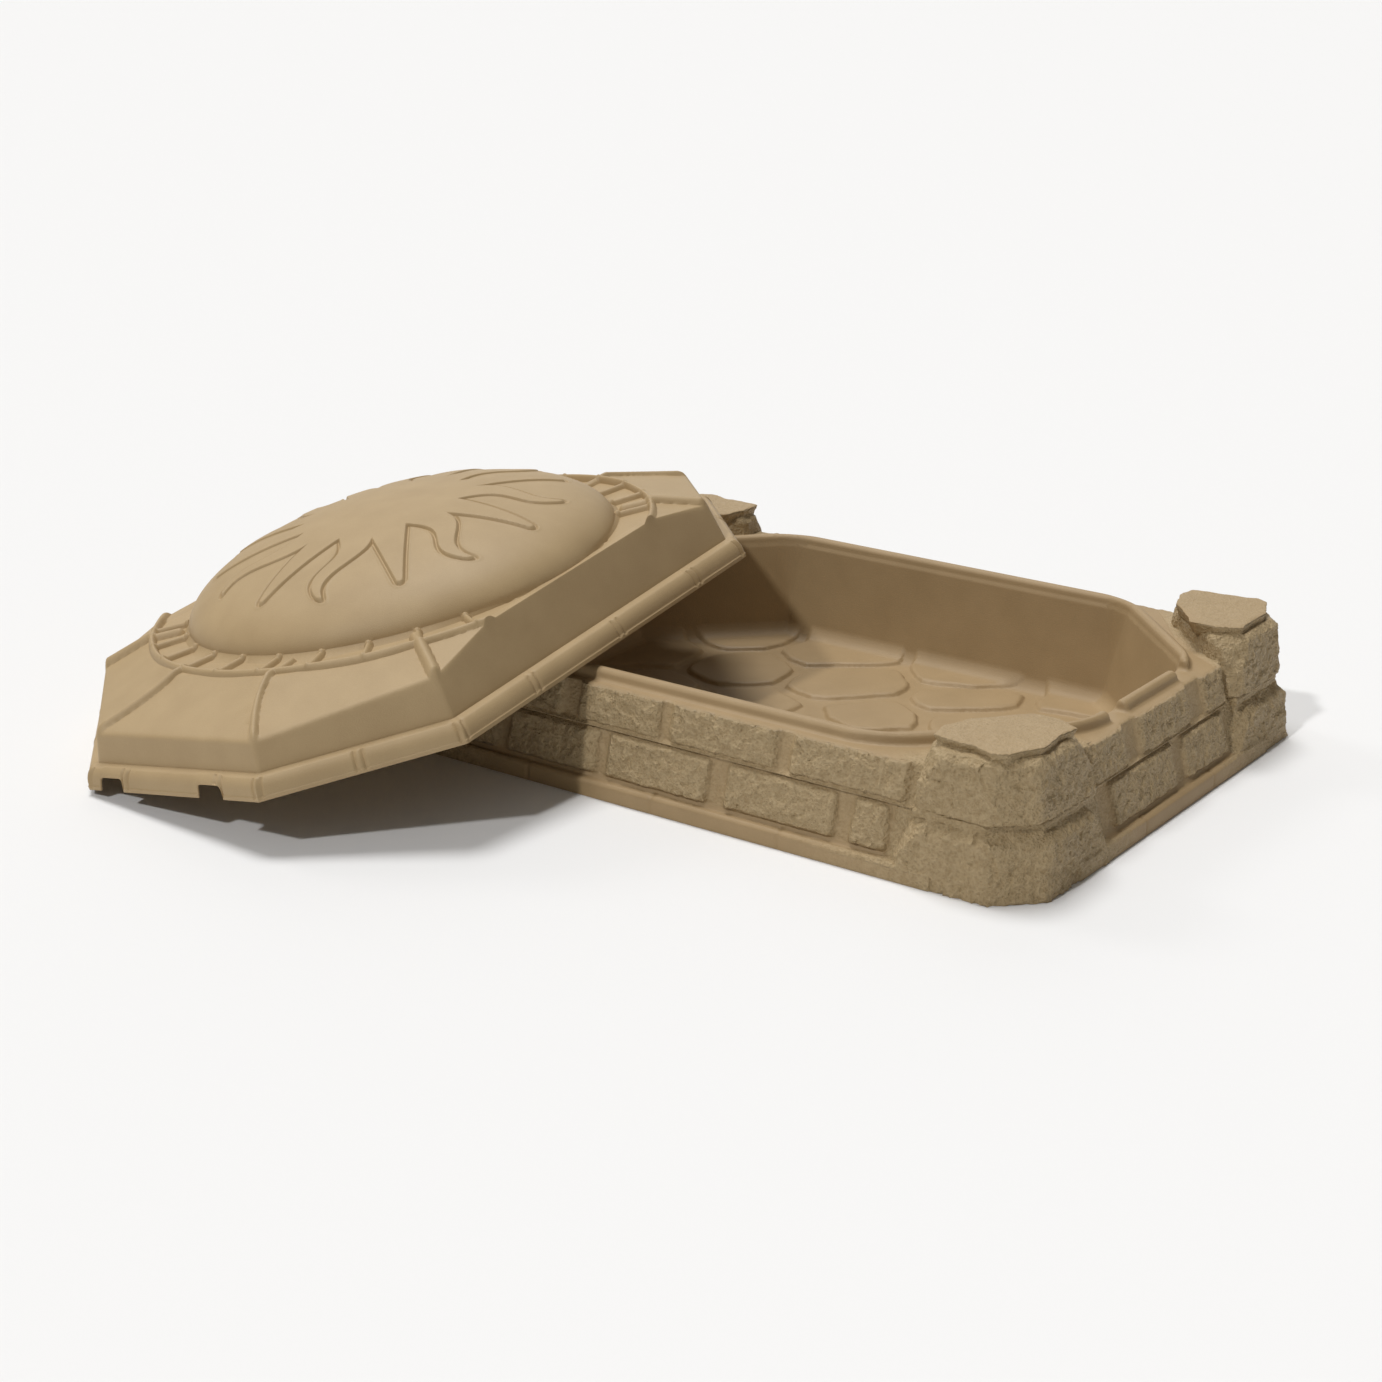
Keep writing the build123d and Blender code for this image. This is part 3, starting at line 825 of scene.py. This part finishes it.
def thin_out(made):
    """Collapses the edges that matter least, down to a set number of triangles, and shades
    the rest smooth except at sharp edges."""
    bpy.context.view_layer.objects.active = made
    count = sum(len(p.vertices) - 2 for p in made.data.polygons)
    if count > MAX_TRIANGLES:
        apply_modifier(made, "thin", "DECIMATE", ratio=MAX_TRIANGLES / count)
    made.data.polygons.foreach_set("use_smooth", [True] * len(made.data.polygons))
    made.data.set_sharp_from_angle(angle=math.radians(38))
    apply_modifier(made, "even shading", "WEIGHTED_NORMAL", keep_sharp=True)
    made.data.update()


def keep_mask(made, name, values):
    """Stores one number for each vertex, for the material to read."""
    layer = made.data.attributes.new(name, "FLOAT", "POINT")
    layer.data.foreach_set("value", np.asarray(values, np.float32))


def moulded_polyethylene(name, base, dark, stone_shade_and_highlight):
    """Rotationally moulded polyethylene: matt, with a fine sandy grain from the mould; on the
    box's stone, painted highlight on the block faces and the crests of the chips, and painted
    shade in their hollows.
    """
    made = bpy.data.materials.new(name)
    made.use_nodes = True
    tree = made.node_tree
    tree.nodes.clear()
    where = add_node(tree, "ShaderNodeTexCoord").outputs["Object"]
    # cloudy patches about 90 mm across, from uneven cooling
    cloud = add_node(tree, "ShaderNodeTexNoise", {"Scale": 1 / 0.090, "Detail": 3.0},
                     {"Vector": where})
    # grain of about 2.4 mm; the real one is nearer 0.5 mm, drawn coarser so that it shows
    grain = add_node(tree, "ShaderNodeTexNoise", {"Scale": 1 / 0.0024, "Detail": 3.0},
                     {"Vector": where})
    tone = add_node(tree, "ShaderNodeMapRange",
                    {"From Min": 0.30, "From Max": 0.70, "To Min": 0.0, "To Max": 0.55},
                    {"Value": cloud.outputs["Fac"]})
    speck = add_node(tree, "ShaderNodeMapRange",
                     {"From Min": 0.25, "From Max": 0.75, "To Min": -0.12, "To Max": 0.30},
                     {"Value": grain.outputs["Fac"]})
    share = add_node(tree, "ShaderNodeMath", {"operation": "ADD", "use_clamp": True},
                     {0: tone.outputs["Result"], 1: speck.outputs["Result"]})
    colour = add_node(tree, "ShaderNodeMix",
                      {"data_type": "RGBA", 6: linear(base), 7: linear(dark)},
                      {0: share.outputs[0]})
    bump = add_node(tree, "ShaderNodeBump", {"Strength": 0.45, "Distance": 0.0009},
                    {"Height": grain.outputs["Fac"]})
    tint = colour.outputs[2]
    # on the stone, painted highlight: the blocks' faces take paler colours than the mortar, which
    # keeps more of the plastic's own
    if stone_shade_and_highlight:
        mask = add_node(tree, "ShaderNodeAttribute", {"attribute_name": "stone"}).outputs["Fac"]
        # split-stone chatter in the blocks: chips of 6 mm and 14 mm
        chips = add_node(tree, "ShaderNodeTexVoronoi", {"Scale": 1 / 0.006, "Randomness": 1.0},
                         {"Vector": where})
        ridges = add_node(tree, "ShaderNodeTexNoise",
                          {"Scale": 1 / 0.014, "Detail": 6.0, "Roughness": 0.65},
                          {"Vector": where})
        blend = add_node(tree, "ShaderNodeMath", {"operation": "MULTIPLY_ADD", 1: 0.35},
                         {0: chips.outputs["Distance"], 2: ridges.outputs["Fac"]})
        # painted highlight and shade: the crests of the chips are painted paler and the hollows
        # between them darker
        crest = add_node(tree, "ShaderNodeMapRange",
                         {"From Min": 0.46, "From Max": 0.82, "To Min": 0.0, "To Max": 1.0},
                         {"Value": blend.outputs[0]})
        hollow, lit_crest_colour = [linear(each) for each in stone_shade_and_highlight]
        highlighted = add_node(tree, "ShaderNodeMix", {"data_type": "RGBA", 6: hollow, 7: lit_crest_colour},
                          {0: crest.outputs["Result"]})
        # painted highlight: where the mask is high the faces take the painted stone colours, on
        # the mortar half of them
        tint = add_node(tree, "ShaderNodeMix", {"data_type": "RGBA"},
                        {0: mask, 6: tint, 7: highlighted.outputs[2]}).outputs[2]
        only = add_node(tree, "ShaderNodeMath", {"operation": "MULTIPLY"},
                        {0: blend.outputs[0], 1: mask})
        bump = add_node(tree, "ShaderNodeBump", {"Strength": 1.0, "Distance": 0.008},
                        {"Height": only.outputs[0], "Normal": bump.outputs["Normal"]})
    shader = add_node(tree, "ShaderNodeBsdfPrincipled",
                      {"Roughness": 0.55, "IOR": 1.50, "Specular IOR Level": 0.40},
                      {"Base Color": tint, "Normal": bump.outputs["Normal"]})
    add_node(tree, "ShaderNodeOutputMaterial", {}, {"Surface": shader.outputs["BSDF"]})
    return made


def stone_bump_and_highlight(points):
    """How much of the stone's bump and of its painted highlight and shade each point of the box
    takes, from 0 to 1: half on the mortar, less on the seats, none on the bead, the ledge, the
    basin or the plinth."""
    x, y, z = np.abs(points[:, 0]), np.abs(points[:, 1]), points[:, 2]
    ahead = np.maximum(x - LEDGE[0], y - LEDGE[1]) - WALL_SLOPE * (LEDGE_Z - z)
    wall = 0.5 * smooth_step(ahead, -JOINT - 0.005, -JOINT - 0.001)
    wall = (wall + 0.5 * smooth_step(ahead, -JOINT + 0.001, -0.006)) * smooth_step(z, 0.040, 0.050)
    wall *= 1 - smooth_step(z, LEDGE_Z - 0.004, LEDGE_Z - 0.001)
    corner = (x + y) / math.sqrt(2) - (COVER[0] + COVER[1] - COVER_CUT[0]) / math.sqrt(2)
    stone = (smooth_step(corner, 0.000, 0.006)
             * smooth_step(x, STONE_IN[0] - 0.005, STONE_IN[0])
             * smooth_step(y, STONE_IN[1] - 0.005, STONE_IN[1]))
    seat = smooth_step(z, SEAT_Z - 0.006, SEAT_Z - 0.003)
    return np.maximum(wall, stone * (1 - 0.55 * seat))


# ------------------------------------------------------------------ the add-on

class SandboxSizes(bpy.types.PropertyGroup):
    """How finely the two mouldings are shaped"""
    grid: bpy.props.FloatProperty(
        name="Detail", description="Spacing of the points that shape the box",
        default=0.0036, min=0.002, max=0.02, unit="LENGTH")
    columns: bpy.props.IntProperty(
        name="Cover columns", description="Points round the cover's edge",
        default=1280, min=160, max=2400)


class SandboxColours(bpy.types.PropertyGroup):
    """Colours of the plastic, of the painted highlight and shade on the stone, and of the floor"""
    box_light: bpy.props.StringProperty(
        name="Box", description="Colour of the box's plastic, sRGB hex", default="#A58C67")
    box_dark: bpy.props.StringProperty(
        name="Box, darker", description="Colour of its darker patches, sRGB hex",
        default="#98805C")
    # painted shade for the stone's hollows and painted highlight for its crests
    stone_hollow_shade: bpy.props.StringProperty(
        name="Stone, hollows", description="Colour in the hollows of the stone, sRGB hex",
        default="#A18A64")
    stone_crest_highlight: bpy.props.StringProperty(
        name="Stone, crests", description="Colour of the rubbed crests, sRGB hex",
        default="#B59F7A")
    cover_light: bpy.props.StringProperty(
        name="Cover", description="Colour of the cover's plastic, sRGB hex", default="#AF9771")
    cover_dark: bpy.props.StringProperty(
        name="Cover, darker", description="Colour of its darker patches, sRGB hex",
        default="#A38B66")
    floor: bpy.props.StringProperty(
        name="Floor", description="Colour of the floor, sRGB hex", default="#E9E9E9")


class SANDBOX_OT_box(bpy.types.Operator):
    """Build the box: walls of blocks, corner stones, rim bead and sand basin"""
    bl_idname = "sandbox.box"
    bl_label = "Box"

    def execute(self, context):
        colours = context.scene.sandbox_colours
        points, quads = box_mesh(context.scene.sandbox_sizes.grid)
        made = mesh_object("sandbox_box_moulding", points, [quads])
        thin_out(made)
        co = np.array([v.co for v in made.data.vertices])
        # the mask says where the stone's bump and its painted highlight and shade go
        keep_mask(made, "stone", stone_bump_and_highlight(co))
        made.data.materials.append(
            moulded_polyethylene("moulded polyethylene, box", colours.box_light, colours.box_dark,
                                 (colours.stone_hollow_shade, colours.stone_crest_highlight)))
        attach(made, "box")
        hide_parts("sandbox_box")
        return {"FINISHED"}


class SANDBOX_OT_cover(bpy.types.Operator):
    """Build the cover: rim, leaning walls, panels, ring, ticks and the domed sun"""
    bl_idname = "sandbox.cover"
    bl_label = "Cover"

    def execute(self, context):
        colours = context.scene.sandbox_colours
        count = context.scene.sandbox_sizes.columns
        points, quads, tips = cover_faces(cover_mesh(count), count)
        turn, place = cover_place()
        points = points @ turn.T + place
        made = mesh_object("cover_moulding", points, [quads, tips])
        thin_out(made)
        made.data.materials.append(
            moulded_polyethylene("moulded polyethylene, cover", colours.cover_light,
                                 colours.cover_dark, None))
        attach(made, "cover")
        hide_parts("cover")
        return {"FINISHED"}


class SANDBOX_OT_stage(bpy.types.Operator):
    """Set the pale floor, the soft studio lights and the camera"""
    bl_idname = "sandbox.stage"
    bl_label = "Stage"

    def execute(self, context):
        scene = context.scene
        far = 30
        made = mesh_object("studio_floor",
                           [(-far, -far, 0), (far, -far, 0), (far, far, 0), (-far, far, 0)],
                           [np.array([[0, 1, 2, 3]])])
        paint = bpy.data.materials.new("seamless paper")
        paint.use_nodes = True
        shader = paint.node_tree.nodes["Principled BSDF"]
        shader.inputs["Base Color"].default_value = linear(scene.sandbox_colours.floor)
        shader.inputs["Roughness"].default_value = 0.9
        shader.inputs["Specular IOR Level"].default_value = 0.1
        made.data.materials.append(paint)

        world = bpy.data.worlds.new("studio")
        world.use_nodes = True
        sky = world.node_tree.nodes["Background"].inputs
        sky["Color"].default_value = linear(SKY_TINT)
        sky["Strength"].default_value = SKY
        scene.world = world
        scene.view_settings.view_transform = "Standard"
        for name, azimuth, elevation, width, power in SUNS:
            light = bpy.data.lights.new(name, "SUN")
            light.energy = power
            light.angle = math.radians(width)
            lamp = bpy.data.objects.new(name, light)
            bearing, height = math.radians(azimuth), math.radians(elevation)
            towards = Vector((math.cos(bearing) * math.cos(height),
                              math.sin(bearing) * math.cos(height), math.sin(height)))
            lamp.rotation_euler = towards.to_track_quat("Z", "Y").to_euler()
            scene.collection.objects.link(lamp)

        camera = bpy.data.cameras.new("camera")
        camera.lens = CAMERA_LENS
        camera.sensor_width = CAMERA_SENSOR
        holder = bpy.data.objects.new("camera", camera)
        back = Vector(CAMERA_BACK).normalized()
        right = Vector((0, 0, 1)).cross(back).normalized()
        up = back.cross(right)
        turn = Matrix((right, up, back)).transposed().to_4x4()
        holder.matrix_world = Matrix.Translation(CAMERA_AT) @ turn
        scene.collection.objects.link(holder)
        scene.camera = holder
        return {"FINISHED"}


class SANDBOX_PT_panel(bpy.types.Panel):
    """Sizes, colours and the steps that build the sandbox"""
    bl_idname = "SANDBOX_PT_panel"
    bl_label = "Sandbox"
    bl_space_type = "VIEW_3D"
    bl_region_type = "UI"
    bl_category = "Sandbox"

    def draw(self, context):
        for group in (context.scene.sandbox_sizes, context.scene.sandbox_colours):
            for name in group.bl_rna.properties.keys():
                if name not in ("name", "rna_type"):
                    self.layout.prop(group, name)
        for step in STEPS:
            self.layout.operator(step.bl_idname)


STEPS = (SANDBOX_OT_box, SANDBOX_OT_cover, SANDBOX_OT_stage)
CLASSES = (SandboxSizes, SandboxColours) + STEPS + (SANDBOX_PT_panel,)


def register():
    """Registers the classes and hangs their properties on the scene."""
    for each in CLASSES:
        bpy.utils.register_class(each)
    bpy.types.Scene.sandbox_sizes = bpy.props.PointerProperty(type=SandboxSizes)
    bpy.types.Scene.sandbox_colours = bpy.props.PointerProperty(type=SandboxColours)


def unregister():
    """Undoes register, in reverse order."""
    del bpy.types.Scene.sandbox_colours
    del bpy.types.Scene.sandbox_sizes
    for each in reversed(CLASSES):
        bpy.utils.unregister_class(each)


def main():
    register()
    bpy.ops.sandbox.box()
    bpy.ops.sandbox.cover()
    bpy.ops.sandbox.stage()


if __name__ == "__main__":
    main()
